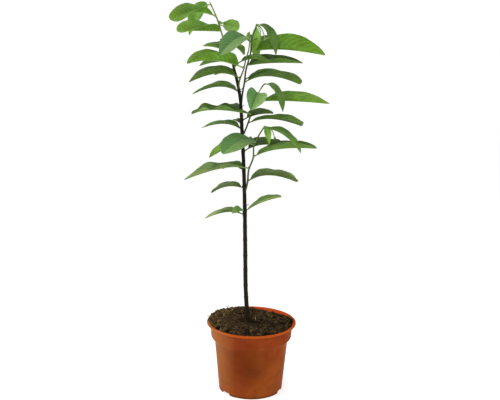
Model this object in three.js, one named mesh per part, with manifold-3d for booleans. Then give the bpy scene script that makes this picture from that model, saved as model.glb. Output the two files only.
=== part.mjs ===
// Young fruit tree, about 56 cm tall, in a round 13 cm plastic nursery pot full of peat.
// Units are millimetres, +Z is up, and the origin is the centre of the pot's flat underside.
// The tree's left is -X, its right +X, its front -Y.
import * as THREE from 'three';
import { mergeVertices } from 'three/addons/utils/BufferGeometryUtils.js';
import Module from 'manifold-3d';

const wasm = await Module();
wasm.setup();

// ---------------------------------------------------------------- driving dimensions

const GAP = 0.3;                    // clearance between pieces that meet

const pot = {
  height: 103,
  lipRadius: 65,
  lipHeight: 3.2,
  collarRadius: 60,
  collarFoot: 58.6,                 // outer radius where the collar ends
  collarHeight: 18.2,
  stepHeight: 7,                    // slope from the collar down to the body
  bodyRadius: 53.1,                 // top of the body
  footRadius: 46.5,
  wall: 1.4,
  panelRadius: 27,                  // flat middle of the underside
  panelSlope: 1.5,                  // how far its edge slopes out on the way up to the recess
  recess: 4,                        // ring between panel and foot, raised for the drain holes
  footWidth: 2,
  notchTurns: [-141, -21, 99],      // degrees round the axis, where the foot is cut for drainage
  notchWidth: 20,                   // degrees
  notchHeight: 3.5,
  drainHoles: 6,
  drainRadius: 3.5,
};

const soil = {
  level: 100.4,                     // at the axis
  slope: 0.061,                     // rises towards the back left
  slopeTurn: 150,
  lump: 0.9,
  heap: 3,                          // height of the mound that covers the rim at the back left
  heapPlace: [-44, 34],
  heapReach: 20,
  edgeRadius: 57.6,
  shoulder: 88,                     // below this the plug fills the pot wall to wall
  skirt: 10,                        // the heap's straight side below the rim's height
  rings: [56.6, 50, 40, 30, 20, 10],
  seatRadius: 7,                    // small flat dimple that the stem stands in
  seatLevel: 99.4,
};

// A route is [x, y, z] from foot to tip; girth is [height, radius] on the way up.
const trunk = {
  girth: [[100, 3], [118, 2.75], [280, 2.65], [381, 2.35], [461, 2], [482, 1.25], [559, 0.85]],
  route: [
    [-4.5, 0, soil.seatLevel + GAP], [-7.2, 0, 125], [-9, 0.5, 150], [-10.9, 0.5, 220], [-12.2, 0, 270],
    [-14.7, -0.5, 335], [-17.6, 0, 381], [-21, 0.5, 430], [-27.4, 1, 461], [-36, 1.5, 490],
    [-45.6, 2, 513], [-54.3, 1.5, 539], [-63.3, 0, 559],
  ],
};

// Side shoots: the bough is the bare length up to boughTop, and the mass is the rest with its leaves.
// Their radii are [foot, tip].
const shoots = {
  low: {
    radii: [1.3, 0.95], boughTop: 309,
    route: [[-13.2, 0, 292], [-9, -6, 312], [-7.4, -10, 331], [-1.5, -14, 349], [-0.8, -17.5, 366],
      [5.3, -21, 381], [13, -24, 394.5]],
  },
  middle: {
    radii: [1.2, 0.8], boughTop: 392,
    route: [[-17.4, 0, 376], [-12, -4, 389], [-8.4, -7, 400], [-2.5, -14, 420], [5.4, -19, 443],
      [11.8, -22, 453]],
  },
  high: {
    radii: [1.3, 0.9], boughTop: 447,
    route: [[-20, 0.3, 413], [-17.8, 4.5, 437], [-15.3, 6.5, 452], [-13.8, 8.5, 467], [-7.4, 11.6, 493],
      [-6.4, 13.6, 509], [0, 16, 530]],
  },
  front: {
    radii: [1.1, 0.8], boughTop: 452,
    route: [[-23.4, 0.5, 442], [-22.2, -4.5, 455], [-16.6, -7.5, 471], [-14.2, -10, 483], [-10.2, -13.5, 498],
      [-8.4, -16, 513]],
  },
};

const leafRule = {
  petiole: 7,                       // length of the leaf stalk
  stalkRadius: 0.95,
  aspect: 0.42,                     // width over length
  fold: 50,                         // degrees that each half rises from flat; ease opens it at the tip
  lean: 0,                          // degrees that the half facing the front is tipped up; twist adds
                                    // to it towards the tip
  twist: 0,
  ease: 0,
  crest: 0.35,                      // where along its chord a leaf arches most
  thinness: 90,                     // length over thickness
  rise: 0.68,                       // outline: width grows as t^rise and falls as (1 - t)^fall
  fall: 0.62,
  wave: 0.9,                        // height of the margin's undulation
  waves: 1.7,                       // undulations from foot to tip
  stations: 9,
};

// One row for each leaf: height of its foot, turn (0 right, 90 back, 180 left, -90 front), span out to
// its tip, rise of the tip over the foot, arch over the chord, and what sets it apart from the rule.
const leaves = {
  trunk: {
    low_left: [262, 190, 58, -3, 8, { width: 22, fold: 20, rise: 0.6, fall: 0.75 }],
    low_back: [269, 222, 24, 0, 4, { width: 13, fold: 18, lean: -25 }],
    low_right: [268, -12, 53, 25, 4, { petiole: 4, width: 23, fold: 26, lean: -4, rise: 0.8, fall: 0.45 }],
    low_far: [327, 122, 60, -8, 6, { width: 22, fold: 36 }],
    second_left: [302, 168, 48, -10, 7,
      { crest: 0.5, petiole: 5, width: 24, fold: 25, rise: 0.5, fall: 0.45, wave: 0.6 }],
    middle_right: [354, 38, 72, 1, 7.5, { petiole: 12, width: 37, fold: 30, rise: 1 }],
    middle_far: [365, 102, 70, -22, 7, { width: 24, fold: 24 }],
    middle_left: [386, 172, 58, 0, 8, { petiole: 4, width: 19, fold: 24, lean: -4, rise: 0.55, fall: 0.8 }],
    middle_back: [393, 118, 26, 3, 2, { width: 12, fold: 25 }],
    upper_right: [398, 34, 54, 7, 4.5, { petiole: 12, width: 27, fold: 30, rise: 0.85 }],
    upper_far: [412, 125, 56, -4, 4, { width: 20, fold: 34 }],
    upper_left: [438, 172, 67, -5, 10, { petiole: 5, width: 26, fold: 24, lean: -2, rise: 0.5, fall: 0.65 }],
    high_far: [461, 128, 50, -4, 5, { width: 18, fold: 34 }],
    fork: [472, -12, 51, 10, 9, { crest: 0.3, petiole: 15, width: 20, fold: 30 }],
    high_left: [479, 150, 54, -8, 4, { width: 22, fold: 30 }],
    crown_far: [504, 86, 56, -16, 5, { fold: 30 }],
    crown_left: [492, 160, 40, 8, 3.5, { width: 24, fold: 30, lean: -8, fall: 0.8 }],
    crown_back: [499, 30, 27, -11, 7, { width: 22, fold: 25 }],
    crown_front: [522, 203, 64, 1, 0.5,
      { petiole: 3, width: 38, fold: 38, lean: 4, twist: -45, ease: 0.4, rise: 0.5, fall: 0.36 }],
    crown_right: [529, -22, 29, -4, 2, { width: 22, fold: 20, lean: -52, rise: 0.8, fall: 0.35 }],
    top_far: [530, 72, 46, -10, 5, { fold: 25 }],
    top_left: [541, 207, 70, 1, 6.5, { width: 25, fold: 47, lean: 12, twist: -128, ease: 0.6, fall: 0.3 }],
    top_arch: [557, 150, 35, -43, 15.5,
      { crest: 0.7, width: 22, fold: 25, lean: -95, rise: 0.55, fall: 0.7 }],
  },
  low: [
    [313.5, 15, 73, -4, 10, { petiole: 5, width: 31, fold: 30, rise: 0.6, fall: 0.25, wave: 1.4 }],
    [332.5, 188, 91, -15, 8,
      { crest: 0.3, width: 36, fold: 24, lean: 2, rise: 0.95, fall: 0.55,
        wave: 2.4, waves: 2.1, phase: 0.12 }],
    [350, -12, 89, 17, 7, { crest: 0.27, width: 38, fold: 30, lean: 4, rise: 0.8, fall: 0.52 }],
    [368, 172, 63, -21, 8, { width: 28, fold: 48, fall: 0.48 }],
    [372, 237, 79, -5, 9, { width: 37, fold: 12, lean: -16, rise: 0.7, fall: 0.5 }],
    [369, 160, 10, 8, 2, { petiole: 3, width: 9, fold: 15, lean: -20 }],
    [393, -25, 56, -30, 9.5, { crest: 0.58, petiole: 4, width: 22, fold: 30, lean: 2 }],
    [394, -60, 14, -22, 5, { petiole: 3, width: 12, fold: 30 }],
  ],
  middle: [
    [396, -18, 78, 1, 8.5, { petiole: 4, width: 28, fold: 26, fall: 0.15, wave: 1.2 }],
    [410, 198, 85, 2, 6.5,
      { crest: 0.7, petiole: 3, width: 33, fold: 20, lean: 0, rise: 0.5, fall: 0.6,
        wave: 3, waves: 2.7, phase: 0.84 }],
    [428.5, 8, 105, -4, 2.5, { fold: 34, rise: 1.4, fall: 0.88 }],
    [448, -106, 51, -25, 2, { petiole: 20, width: 34, fold: 36, lean: -20, rise: 0.5, fall: 0.55 }],
    [452.5, -20, 28, -36, 16.5, { crest: 0.76, petiole: 4, width: 17.5, fold: 18, lean: -28, rise: 0.9 }],
  ],
  high: [
    [451, 22, 85, -5, 11, { petiole: 6, width: 37, fold: 33, rise: 0.78, fall: 0.27, wave: 0.5, phase: 0.2 }],
    [455, 40, 66, 1, 6, { width: 22, fold: 30, rise: 1.3 }],
    [475, 8, 79, 3, 2.5, { petiole: 3, width: 39, fold: 27, lean: -6, rise: 0.5 }],
    [494, 6, 105, -5, 5.5, { width: 51, fold: 60, lean: 2, rise: 0.85, fall: 0.68 }],
    [508, 66, 62, -14, 6, { fold: 30 }],
    [530, -28, 31, -40, 18, { crest: 0.77, petiole: 5, width: 18, fold: 18, lean: -28, rise: 0.85 }],
    [529, -95, -9, -46, 4, { petiole: 5, width: 15, fold: 22, lean: 0, rise: 0.7, fall: 0.35 }],
  ],
  front: [
    [458, 190, 71, -5, 10, { width: 33, fold: 36, lean: 0 }],
    [472.5, 196, 80, 7, 8,
      { crest: 0.5, petiole: 10, width: 38, fold: 42, lean: 14, twist: -55, rise: 0.36, fall: 0.48 }],
    [512, 242, 83, -15, 10,
      { petiole: 9, width: 29, fold: 20, lean: -18, twist: -22, rise: 0.7, fall: 0.52 }],
    [507, 50, 0, 16, 1, { petiole: 2, width: 11, fold: 52 }],
  ],
};

const colours = { pot: 0xa9501c, soil: 0x2e261c, bark: 0x2b2620, leaf: 0x4c8a2a };

// ---------------------------------------------------------------- solids and booleans

// A manifold solid from a three.js geometry whose shared vertices are merged.
function solidOf(geometry) {
  const bare = geometry.clone();
  bare.deleteAttribute('normal');
  bare.deleteAttribute('uv');
  const merged = mergeVertices(bare, 1e-4);
  const corners = [];
  const index = merged.index.array;
  for (let i = 0; i < index.length; i += 3) {
    const [a, b, c] = [index[i], index[i + 1], index[i + 2]];
    if (a !== b && b !== c && c !== a) corners.push(a, b, c);
  }
  return new wasm.Manifold(new wasm.Mesh({
    numProp: 3,
    vertProperties: new Float32Array(merged.attributes.position.array),
    triVerts: new Uint32Array(corners),
  }));
}

function geometryOf(solid) {
  const mesh = solid.getMesh();
  const geometry = new THREE.BufferGeometry();
  geometry.setAttribute('position', new THREE.BufferAttribute(new Float32Array(mesh.vertProperties), 3));
  geometry.setIndex(new THREE.BufferAttribute(new Uint32Array(mesh.triVerts), 1));
  geometry.computeVertexNormals();
  return geometry;
}

// The largest of the pieces that a cut leaves.
function largestPiece(solid) {
  const pieces = solid.decompose();
  return pieces.reduce((best, piece) => (piece.volume() > best.volume() ? piece : best));
}

// Moves every vertex of a geometry to the point that place(x, y, z) gives.
function reshape(geometry, place) {
  const position = geometry.attributes.position;
  for (let i = 0; i < position.count; i++) {
    const point = place(position.getX(i), position.getY(i), position.getZ(i));
    position.setXYZ(i, point.x, point.y, point.z);
  }
  return geometry;
}

// ---------------------------------------------------------------- stems

const UP = new THREE.Vector3(0, 0, 1);

function curveOf(route) {
  return new THREE.CatmullRomCurve3(route.map((p) => new THREE.Vector3(...p)), false, 'centripetal');
}

// The fraction along a curve where it passes a height.
function fractionAt(curve, height) {
  let low = 0;
  let high = 1;
  for (let i = 0; i < 40; i++) {
    const mid = (low + high) / 2;
    if (curve.getPointAt(mid).z < height) low = mid;
    else high = mid;
  }
  return (low + high) / 2;
}

// A tapering limb: a cylinder bent along the curve from one fraction to another.
function limb(curve, radiusAt, from = 0, to = 1, sides = 8, steps = 12) {
  const cylinder = new THREE.CylinderGeometry(1, 1, 1, sides, steps);
  return reshape(cylinder, (x, y, z) => {
    const u = from + (y + 0.5) * (to - from);
    const along = curve.getTangentAt(u);
    if (u === 0 && along.z > 0.9) along.copy(UP);
    const side = new THREE.Vector3(0, -1, 0).cross(along).normalize();
    const front = new THREE.Vector3().crossVectors(along, side);
    const radius = radiusAt(u);
    return curve.getPointAt(u).addScaledVector(side, x * radius).addScaledVector(front, -z * radius);
  });
}

function taper([foot, tip]) {
  return (u) => foot + (tip - foot) * u;
}

const trunkCurve = curveOf(trunk.route);

function trunkRadius(u) {
  const { z } = trunkCurve.getPointAt(u);
  const above = trunk.girth.findIndex(([height]) => height > z);
  if (above < 1) return trunk.girth.at(above)[1];
  const [low, high] = [trunk.girth[above - 1], trunk.girth[above]];
  return THREE.MathUtils.mapLinear(z, low[0], high[0], low[1], high[1]);
}

// ---------------------------------------------------------------- leaves

// Repeatable draw in 0..1 for the nth leaf.
function draw(n) {
  const value = Math.sin(n * 12.9898) * 43758.5453;
  return value - Math.floor(value);
}

// A leaf's length, and the share of it that is stalk.
function measures([, , span, rise, arch, own]) {
  const length = Math.hypot(span, rise) + arch * 0.5;
  return [length, Math.min(0.4, (own.petiole ?? leafRule.petiole) / length)];
}

// The surface of one leaf: u runs from its foot to its tip, s from its right margin to its left,
// and h through its thickness from -0.5 to 0.5.
function leafSurface(foot, row, serial) {
  const [, turn, span, rise, arch] = row;
  const own = { ...leafRule, ...row[5] };
  const [length, stalk] = measures(row);
  const width = own.width ?? length * own.aspect;
  const fold = THREE.MathUtils.degToRad(own.fold);
  const azimuth = THREE.MathUtils.degToRad(turn);
  const outward = new THREE.Vector3(Math.cos(azimuth), Math.sin(azimuth), 0);
  const left = new THREE.Vector3(-Math.sin(azimuth), Math.cos(azimuth), 0);
  const facing = left.y < 0 ? 1 : -1;
  const lean = THREE.MathUtils.degToRad(own.lean) * facing;
  const twist = THREE.MathUtils.degToRad(own.twist) * facing;
  const tip = foot.clone().addScaledVector(outward, span).addScaledVector(UP, rise);
  const crest = foot.clone().lerp(tip, own.crest).addScaledVector(UP, 2 * arch);
  const midrib = new THREE.QuadraticBezierCurve3(foot, crest, tip);
  const peak = own.rise / (own.rise + own.fall);
  const norm = peak ** own.rise * (1 - peak) ** own.fall;
  const thickness = length / own.thinness;
  const phase = own.phase ?? draw(serial);

  return (u, s, h) => {
    const t = Math.max(0, (u - stalk) / (1 - stalk));
    const spread = t ** own.rise * Math.max(0, 1 - t) ** own.fall / norm;
    const open = Math.min(1, t * 8);
    const half = Math.max(own.stalkRadius * (1 - t * 0.6), spread * width / 2);
    const deep = own.stalkRadius * 2 * (1 - open) + thickness * open;
    const ripple = own.wave * spread * s * s * Math.sin(2 * Math.PI * (own.waves * t + phase + 0.3 * s));
    const along = midrib.getTangent(u);
    const normal = new THREE.Vector3().crossVectors(along, left).normalize();
    const roll = lean + twist * t * t;
    const side = left.clone().applyAxisAngle(along, roll);
    const top = normal.applyAxisAngle(along, roll);
    const bend = fold * open * (1 - own.ease * t * t);
    const slope = bend * Math.sign(s);
    const lift = s === 0 ? 1 / Math.cos(bend) : Math.cos(bend);
    return midrib.getPoint(u)
      .addScaledVector(side, s * half * Math.cos(slope) - Math.sin(slope) * h * deep)
      .addScaledVector(top, s * half * Math.sin(slope) + ripple + lift * h * deep);
  };
}

// A leaf is a flat slab, two panels wide, laid onto its surface, with close stations at both ends.
function leafSolid(foot, row, serial) {
  const surface = leafSurface(foot, row, serial);
  const stalkSteps = 2;
  const steps = leafRule.stations + stalkSteps;
  const [, stalk] = measures(row);
  const slab = new THREE.BoxGeometry(2, 1, steps, 2, 1, steps);
  return solidOf(reshape(slab, (x, y, z) => {
    const step = Math.round(z + steps / 2);
    const blade = Math.max(0, (step - stalkSteps) / leafRule.stations);
    const t = (1 - Math.cos(Math.PI * blade)) / 2;
    const u = step <= stalkSteps ? stalk * step / stalkSteps : stalk + (1 - stalk) * t;
    return surface(u, x, y);
  }));
}

// ---------------------------------------------------------------- pot and soil

const bodyTop = pot.height - pot.lipHeight - pot.collarHeight - pot.stepHeight;
const collarBase = bodyTop + pot.stepHeight;
const lipBase = pot.height - pot.lipHeight;

// Inner radius of the pot's wall at a height.
function innerRadius(z) {
  const body = pot.footRadius + (pot.bodyRadius - pot.footRadius) * Math.min(z, bodyTop) / bodyTop;
  if (z <= bodyTop) return body - pot.wall;
  if (z <= collarBase) {
    return THREE.MathUtils.mapLinear(z, bodyTop, collarBase, pot.bodyRadius, pot.collarFoot) - pot.wall;
  }
  return THREE.MathUtils.mapLinear(z, collarBase, lipBase, pot.collarFoot, pot.collarRadius) - pot.wall;
}

function turned(profile, segments) {
  const lathe = new THREE.LatheGeometry(profile.map(([r, z]) => new THREE.Vector2(r, z)), segments);
  return lathe.rotateX(Math.PI / 2);
}

function potSolid() {
  const inside = pot.footRadius - pot.footWidth;
  const floor = pot.recess + pot.wall;
  const shell = solidOf(turned([
    [0, 0], [pot.panelRadius, 0], [pot.panelRadius + pot.panelSlope, pot.recess], [inside - 0.5, pot.recess],
    [inside, 0], [pot.footRadius, 0], [pot.bodyRadius, bodyTop], [pot.collarFoot, collarBase],
    [pot.collarRadius, lipBase], [pot.lipRadius - 1, lipBase], [pot.lipRadius, lipBase + 1],
    [pot.lipRadius, pot.height - 1.2], [pot.lipRadius - 1, pot.height - 0.2],
    [pot.lipRadius - 2.4, pot.height], [pot.collarRadius + 1.2, pot.height - 0.5],
    [innerRadius(lipBase), lipBase], [innerRadius(collarBase), collarBase], [innerRadius(bodyTop), bodyTop],
    [innerRadius(floor), floor], [pot.panelRadius, floor], [pot.panelRadius - pot.panelSlope, pot.wall],
    [0, pot.wall],
  ], 48));
  let body = shell;
  const footMiddle = pot.footRadius - pot.footWidth / 2;
  const notchLength = 2 * footMiddle * Math.sin(THREE.MathUtils.degToRad(pot.notchWidth / 2));
  for (const turn of pot.notchTurns) {
    const notch = new THREE.BoxGeometry(pot.footWidth * 6, notchLength, pot.notchHeight * 2);
    notch.translate(footMiddle, 0, 0).rotateZ(THREE.MathUtils.degToRad(turn));
    body = body.subtract(solidOf(notch));
  }
  const ringMiddle = (pot.panelRadius + inside) / 2;
  for (let i = 0; i < pot.drainHoles; i++) {
    const hole = new THREE.CylinderGeometry(pot.drainRadius, pot.drainRadius, floor * 2, 12);
    hole.rotateX(Math.PI / 2).translate(ringMiddle, 0, floor);
    hole.rotateZ((i + 0.5) * 2 * Math.PI / pot.drainHoles);
    body = body.subtract(solidOf(hole));
  }
  return largestPiece(body);
}

function soilHeight(x, y) {
  const turn = THREE.MathUtils.degToRad(soil.slopeTurn);
  const slope = soil.slope * (x * Math.cos(turn) + y * Math.sin(turn));
  const lumps = Math.sin(x * 0.31 + 1.3) * Math.sin(y * 0.27 + 0.4) + Math.sin(x * 0.17 - y * 0.23);
  const away = Math.hypot(x - soil.heapPlace[0], y - soil.heapPlace[1]) / soil.heapReach;
  return soil.level + slope + soil.lump * lumps + soil.heap * Math.exp(-away * away);
}

function soilSolid() {
  const bottom = pot.recess + pot.wall + GAP;
  const plug = pot.panelRadius - pot.panelSlope - GAP;
  const rings = soil.rings.map((r) => [r, pot.height]);
  const block = turned([
    [0, pot.wall + GAP], [plug, pot.wall + GAP], [plug, bottom], [innerRadius(bottom) - GAP, bottom],
    [innerRadius(bodyTop) - GAP, bodyTop], [innerRadius(collarBase) - GAP, collarBase],
    [innerRadius(soil.shoulder) - GAP, soil.shoulder], [soil.edgeRadius, pot.height - soil.skirt],
    ...rings, [0, pot.height],
  ], 32);
  const heaped = solidOf(reshape(block, (x, y, z) => {
    const level = z === pot.height ? soilHeight(x, y) : z;
    return new THREE.Vector3(x, y, level);
  }));
  const [seatX, seatY] = trunk.route[0];
  const dimple = new THREE.CylinderGeometry(soil.seatRadius + 2, soil.seatRadius, 20, 16);
  dimple.rotateX(Math.PI / 2).translate(seatX, seatY, soil.seatLevel + 10);
  return heaped.subtract(solidOf(dimple));
}

// ---------------------------------------------------------------- the tree

const tree = new THREE.Group();

function add(name, solid, colour, roughness) {
  const material = new THREE.MeshStandardMaterial({ color: colour, roughness, metalness: 0 });
  const mesh = new THREE.Mesh(geometryOf(solid), material);
  mesh.name = name;
  tree.add(mesh);
}

const addLeafy = (name, solid) => add(name, solid, colours.leaf, 0.45);
const addWood = (name, solid) => add(name, solid, colours.bark, 0.8);

add('pot', potSolid(), colours.pot, 0.5);
add('soil', soilSolid(), colours.soil, 0.95);

const trunkSides = 10;
const trunkSteps = 34;
addWood('trunk', solidOf(limb(trunkCurve, trunkRadius, 0, 1, trunkSides, trunkSteps)));

// The room that the trunk and its clearance take up; whatever meets the trunk is cut to it.
const trunkRoom = solidOf(limb(trunkCurve, (u) => trunkRadius(u) + GAP, 0, 1, trunkSides, trunkSteps));

let serial = 0;

for (const [name, row] of Object.entries(leaves.trunk)) {
  const foot = trunkCurve.getPointAt(fractionAt(trunkCurve, row[0]));
  addLeafy(`leaf_${name}`, largestPiece(leafSolid(foot, row, serial++).subtract(trunkRoom)));
}

for (const [name, shoot] of Object.entries(shoots)) {
  const curve = curveOf(shoot.route);
  const radius = taper(shoot.radii);
  const split = fractionAt(curve, shoot.boughTop);
  const start = split + GAP / curve.getLength();
  addWood(`bough_${name}`, largestPiece(solidOf(limb(curve, radius, 0, split, 8, 4)).subtract(trunkRoom)));
  let mass = solidOf(limb(curve, radius, start, 1, 6, 10));
  for (const row of leaves[name]) {
    const foot = curve.getPointAt(fractionAt(curve, row[0]));
    mass = mass.add(leafSolid(foot, row, serial++));
  }
  addLeafy(`shoot_${name}`, mass);
}

export default tree;
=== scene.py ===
"""Looks of a young fruit tree, about 56 cm tall, in a round 13 cm plastic nursery pot of peat.

Shapes are worked out in millimetres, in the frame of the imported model: origin under the pot, +Z up,
the plant's front towards -Y. They are turned into metres where a mesh is made; paints work in metres.
"""
import math
import random
from dataclasses import dataclass
from types import SimpleNamespace as Sizes

import bpy
import numpy as np
from mathutils import Matrix, Vector, noise


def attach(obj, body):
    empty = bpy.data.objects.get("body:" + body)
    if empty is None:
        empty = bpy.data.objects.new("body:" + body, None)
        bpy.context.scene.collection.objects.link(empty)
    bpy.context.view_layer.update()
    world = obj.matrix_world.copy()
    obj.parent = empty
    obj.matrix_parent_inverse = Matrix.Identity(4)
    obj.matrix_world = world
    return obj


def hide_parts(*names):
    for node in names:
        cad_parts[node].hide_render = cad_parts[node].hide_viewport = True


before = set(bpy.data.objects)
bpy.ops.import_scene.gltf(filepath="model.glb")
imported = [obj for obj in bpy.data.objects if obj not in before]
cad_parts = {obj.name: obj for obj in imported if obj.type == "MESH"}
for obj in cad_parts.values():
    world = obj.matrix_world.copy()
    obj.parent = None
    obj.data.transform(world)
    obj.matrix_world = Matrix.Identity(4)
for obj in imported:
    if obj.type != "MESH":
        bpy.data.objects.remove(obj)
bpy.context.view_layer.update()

MM = 0.001
TAU = 2 * math.pi
UP = np.array([0.0, 0.0, 1.0])


def add_object(name, data):
    thing = bpy.data.objects.new(name, data)
    bpy.context.scene.collection.objects.link(thing)
    return thing


# ---------------- camera, light and floor

VIEW = Sizes(look_at=(-5, 0, 285), distance=1423, elevation=13.4, roll=0.94, lens=72, sensor=36)

# name: place, size and power, every lamp aimed at the plant's middle
LAMPS = {
    "top": ((-0.25, 0.1, 1.75), 1.2, 13),
    "left": ((-1.35, -0.1, 0.75), 1.0, 7),
    "right": ((1.35, 0.0, 0.7), 1.0, 6),
    "front": ((-0.3, -1.7, 1.2), 1.2, 11),
}
LAMP_AIM = (0, 0, 0.3)
SKY_STRENGTH = 0.3


def add_camera():
    elevation, roll = math.radians(VIEW.elevation), math.radians(VIEW.roll)
    back = Vector((0, -math.cos(elevation), math.sin(elevation)))
    right = Vector((1, 0, 0))
    up = back.cross(right)
    turned_right = right * math.cos(roll) + up * math.sin(roll)
    turned_up = up * math.cos(roll) - right * math.sin(roll)
    data = bpy.data.cameras.new("camera")
    data.lens = VIEW.lens
    data.sensor_width = VIEW.sensor
    data.clip_start = 0.05
    camera = add_object("camera", data)
    place = (Vector(VIEW.look_at) + back * VIEW.distance) * MM
    axes = Matrix((turned_right, turned_up, back)).transposed()
    camera.matrix_world = Matrix.Translation(place) @ axes.to_4x4()
    bpy.context.scene.camera = camera


def add_lights():
    for name, (place, size, power) in LAMPS.items():
        data = bpy.data.lights.new(name, "AREA")
        data.size = size
        data.energy = power
        lamp = add_object(name, data)
        lamp.location = place
        lamp.rotation_mode = "QUATERNION"
        lamp.rotation_quaternion = (Vector(LAMP_AIM) - Vector(place)).to_track_quat("-Z", "Y")
    world = bpy.data.worlds.new("studio")
    world.use_nodes = True
    sky = world.node_tree.nodes["Background"]
    sky.inputs["Color"].default_value = (1, 1, 1, 1)
    sky.inputs["Strength"].default_value = SKY_STRENGTH
    bpy.context.scene.world = world
    bpy.context.scene.view_settings.view_transform = "Standard"


def add_floor():
    """A wide flat white floor that glows a little, like a light table, and more so far away."""
    reach, sides = 40.0, 64
    points = [(reach * math.cos(k * TAU / sides), reach * math.sin(k * TAU / sides), 0) for k in range(sides)]
    mesh = bpy.data.meshes.new("floor")
    mesh.from_pydata(points, [], [list(range(sides))])
    floor = add_object("floor", mesh)
    paint = Paint("floor_pale", 0.1)
    paint.colour = paint.mix((0.8, 0.8, 0.8), (0.77, 0.77, 0.77), paint.noise(3, 2))
    away = paint.distance(paint.where)
    paint.shader.inputs["Emission Color"].default_value = (1, 1, 1, 1)
    glow = paint.math("ADD", paint.span(away, 0.2, 1.3, 0.27, 0.56), paint.span(away, 1.3, 3, 0, 0.23))
    # stronger glow close round the pot: painted light that washes out the pot's shadow on the floor
    glow = paint.math("ADD", glow, paint.span(away, 0.1, 0.45, 0.32, 0))
    paint.put(paint.shader.inputs["Emission Strength"], glow)
    mesh.materials.append(paint.finish(0.9))


# ---------------- materials

class Paint:
    """A small procedural material: most methods add one node and give back its output."""

    def __init__(self, name, specular=0.5):
        self.material = bpy.data.materials.new(name)
        self.material.use_nodes = True
        self.tree = self.material.node_tree
        self.shader = self.tree.nodes["Principled BSDF"]
        self.shader.inputs["Specular IOR Level"].default_value = specular
        self.where = self.node("TexCoord")["Object"]
        self.colour = (0.5, 0.5, 0.5)

    def put(self, socket, value):
        if isinstance(value, bpy.types.NodeSocket):
            self.tree.links.new(value, socket)
        elif isinstance(value, tuple) and len(value) == 3 and socket.type == "RGBA":
            socket.default_value = (*value, 1)
        else:
            socket.default_value = value

    def node(self, kind, inputs=(), **settings):
        """Adds a node with its settings and its inputs, in their order or by name, and gives its outputs."""
        node = self.tree.nodes.new("ShaderNode" + kind)
        for name, value in settings.items():
            setattr(node, name, value)
        for key, value in inputs.items() if isinstance(inputs, dict) else enumerate(inputs):
            self.put(node.inputs[key], value)
        return node.outputs

    def math(self, operation, *values):
        return self.node("Math", values, operation=operation)[0]

    def times(self, a, b):
        return self.math("MULTIPLY", a, b)

    def stretched(self, *factors):
        return self.node("VectorMath", (self.where, factors), operation="MULTIPLY")[0]

    def moved(self, *way):
        return self.node("VectorMath", (self.where, way), operation="ADD")[0]

    def distance(self, vector):
        return self.node("VectorMath", (vector,), operation="LENGTH")["Value"]

    def axis(self, vector, name):
        return self.node("SeparateXYZ", (vector,))[name]

    def noise(self, scale, detail=4, where=None, rough=0.55):
        inputs = {"Vector": where or self.where, "Scale": scale, "Detail": detail, "Roughness": rough}
        return self.node("TexNoise", inputs)["Fac"]

    def cells(self, scale, feature="F1", where=None):
        inputs = {"Vector": where or self.where, "Scale": scale}
        return self.node("TexVoronoi", inputs, feature=feature)["Distance"]

    def span(self, value, low, high, to_low=0.0, to_high=1.0):
        """Maps low..high to to_low..to_high, and stays there beyond."""
        return self.node("MapRange", (value, low, high, to_low, to_high))[0]

    def mix(self, a, b, share):
        return self.node("Mix", {"Factor": share, 6: a, 7: b}, data_type="RGBA")[2]

    def coat(self, colour, share):
        """Lays a share of another colour over the paint's colour."""
        self.colour = self.mix(self.colour, colour, share)

    def bump(self, height, strength, depth):
        relief = self.node("Bump", {"Strength": strength, "Distance": depth, "Height": height})[0]
        self.put(self.shader.inputs["Normal"], relief)

    def finish(self, roughness):
        self.put(self.shader.inputs["Base Color"], self.colour)
        self.put(self.shader.inputs["Roughness"], roughness)
        return self.material


def scaled(colour, *factors, paler=0.0):
    """A colour times one factor, or times one for each channel, plus a share of its green in all three."""
    factors = factors if len(factors) == 3 else factors * 3
    return tuple(c * k + colour[1] * paler for c, k in zip(colour, factors))


def capped(colour):
    return tuple(min(1.0, c) for c in colour)


# ---------------- meshes

def joined(shapes):
    """Points and faces of several shapes as one."""
    points, faces, start = [], [], 0
    for shape_points, shape_faces in shapes:
        points.append(np.asarray(shape_points, float))
        faces += [[i + start for i in face] for face in shape_faces]
        start += len(shape_points)
    return np.concatenate(points), faces


def make_piece(name, parts, nodes=()):
    """One object from parts, each (points in mm, faces, material, uv or None)."""
    points, faces = joined(part[:2] for part in parts)
    materials = list(dict.fromkeys(part[2] for part in parts))
    marks = [materials.index(material) for _, part_faces, material, _ in parts for _ in part_faces]
    uvs = [np.zeros((len(part_points), 2)) if uv is None else uv for part_points, _, _, uv in parts]
    mesh = bpy.data.meshes.new(name)
    mesh.from_pydata((points * MM).tolist(), [], faces)
    for material in materials:
        mesh.materials.append(material)
    mesh.polygons.foreach_set("material_index", marks)
    mesh.polygons.foreach_set("use_smooth", [True] * len(faces))
    corner = np.zeros(len(mesh.loops), np.int32)
    mesh.loops.foreach_get("vertex_index", corner)
    layer = mesh.uv_layers.new(name="place")
    layer.data.foreach_set("uv", np.concatenate(uvs)[corner].astype(np.float32).ravel())
    mesh.validate()
    piece = add_object(name, mesh)
    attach(piece, "root")
    if nodes:
        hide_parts(*nodes)
    return piece


def grid_faces(rows, columns, around=False, start=0, flip=False):
    """Quads of a grid of points laid out row by row; around joins its last column to its first."""
    grid = np.arange(start, start + rows * columns).reshape(rows, columns)
    if around:
        grid = np.column_stack([grid, grid[:, 0]])
    corners = [grid[:-1, :-1], grid[:-1, 1:], grid[1:, 1:], grid[1:, :-1]]
    return np.stack(corners[::-1] if flip else corners, -1).reshape(-1, 4).tolist()


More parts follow.
